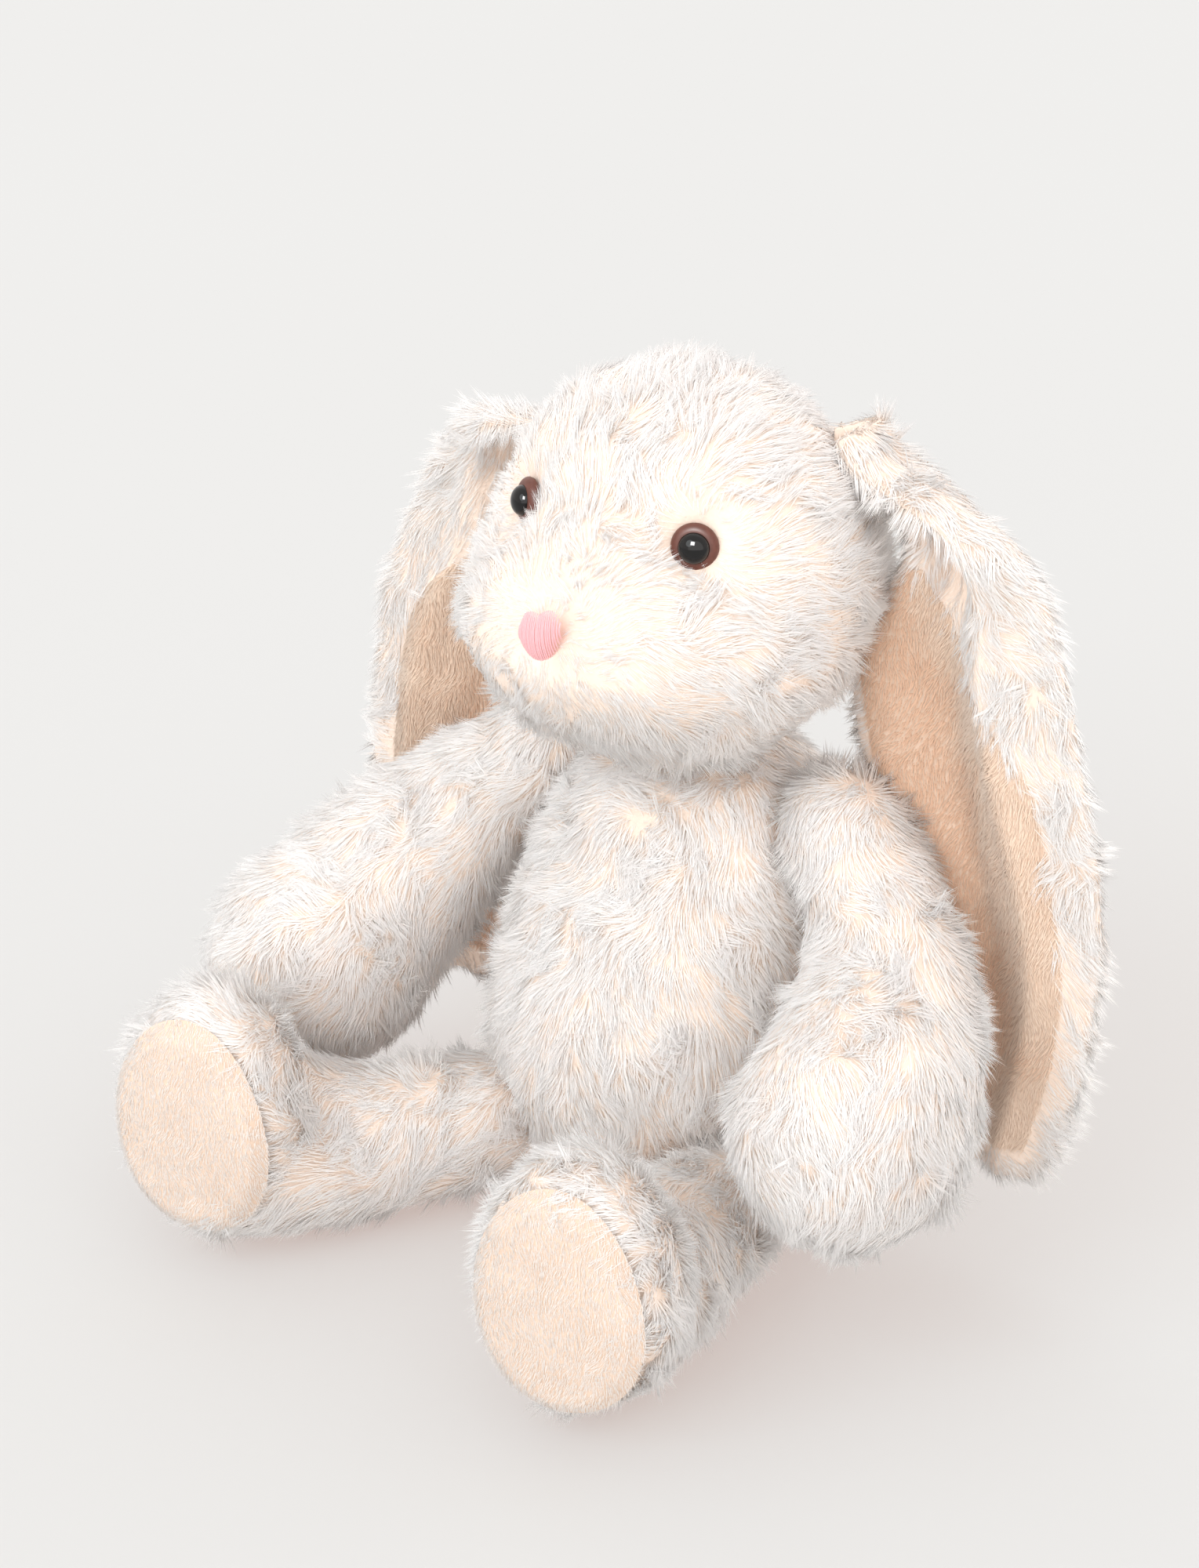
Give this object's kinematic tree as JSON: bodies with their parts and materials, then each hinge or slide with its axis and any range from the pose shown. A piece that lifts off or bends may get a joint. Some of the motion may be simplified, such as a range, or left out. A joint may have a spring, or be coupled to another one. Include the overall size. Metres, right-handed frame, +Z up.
{
  "type": "stuffed toy rabbit",
  "caption": "Sitting plush rabbit with long hanging ears, splayed legs with velour soles, plastic safety eyes and a stitched heart-shaped nose.",
  "frame": {"origin": "middle of the flat seat, on the surface that the toy sits on", "axes": "+Z up, the face looks along -Y, the rabbit's left side is +X"},
  "size_m": [0.2252, 0.1899, 0.2241],
  "materials": {
    "plush": "long crushed-pile plush, cream white with peach depths",
    "velour": "short-pile velour, pale peach",
    "fibrefill": "polyester fibre stuffing, white",
    "pellet_bag": "woven cotton bag of plastic pellets",
    "thread": "polyester sewing thread",
    "nose_floss": "satin-stitched embroidery floss, dusty pink",
    "eye_brown": "moulded plastic, dark brown, satin",
    "eye_black": "moulded plastic, glossy black",
    "washer_plastic": "moulded polyethylene, natural white"
  },
  "bodies": {
    "body": {"body_skin": "plush", "body_filling": "fibrefill", "bean_bag": "pellet_bag", "neck_seam": "thread", "back_seam": "thread", "left_shoulder_seam": "thread", "right_shoulder_seam": "thread", "left_hip_seam": "thread", "right_hip_seam": "thread", "tail_skin": "plush", "tail_filling": "fibrefill"},
    "head": {"head_skin": "plush", "head_filling": "fibrefill", "nose_stitching": "nose_floss", "left_eye_flange": "eye_brown", "left_eye_pupil": "eye_black", "left_eye_washer": "washer_plastic", "right_eye_flange": "eye_brown", "right_eye_pupil": "eye_black", "right_eye_washer": "washer_plastic"},
    "left_ear": {"left_ear_back": "plush", "left_ear_lining": "velour"},
    "left_arm": {"left_arm_skin": "plush", "left_arm_filling": "fibrefill"},
    "left_leg": {"left_leg_skin": "plush", "left_leg_filling": "fibrefill", "left_foot_sole": "velour"},
    "right_ear": {"right_ear_back": "plush", "right_ear_lining": "velour"},
    "right_arm": {"right_arm_skin": "plush", "right_arm_filling": "fibrefill"},
    "right_leg": {"right_leg_skin": "plush", "right_leg_filling": "fibrefill", "right_foot_sole": "velour"}
  },
  "joints": [
    {"name": "neck_nod", "type": "hinge", "parent": "body", "child": "head", "pos_m": [0, 0.002, 0.115], "axis": [1, 0, 0], "range_deg": [-3, 15]},
    {"name": "left_shoulder", "type": "hinge", "parent": "body", "child": "left_arm", "pos_m": [0.04351, 0, 0.113], "axis": [-1, 0, 0], "range_deg": [0, 75]},
    {"name": "right_shoulder", "type": "hinge", "parent": "body", "child": "right_arm", "pos_m": [-0.04351, 0, 0.113], "axis": [-1, 0, 0], "range_deg": [0, 75]},
    {"name": "left_hip", "type": "hinge", "parent": "body", "child": "left_leg", "pos_m": [0.036, -0.03539, 0.022], "axis": [-0.9763, -0.2164, 0], "range_deg": [0, 20]},
    {"name": "right_hip", "type": "hinge", "parent": "body", "child": "right_leg", "pos_m": [-0.036, -0.03539, 0.022], "axis": [-0.891, 0.454, 0], "range_deg": [0, 20]},
    {"name": "left_ear_root", "type": "hinge", "parent": "head", "child": "left_ear", "pos_m": [0.03601, 0.012, 0.20826], "axis": [0, -1, 0], "range_deg": [0, 80]},
    {"name": "right_ear_root", "type": "hinge", "parent": "head", "child": "right_ear", "pos_m": [-0.03601, 0.012, 0.20826], "axis": [0, 1, 0], "range_deg": [0, 80]}
  ]
}
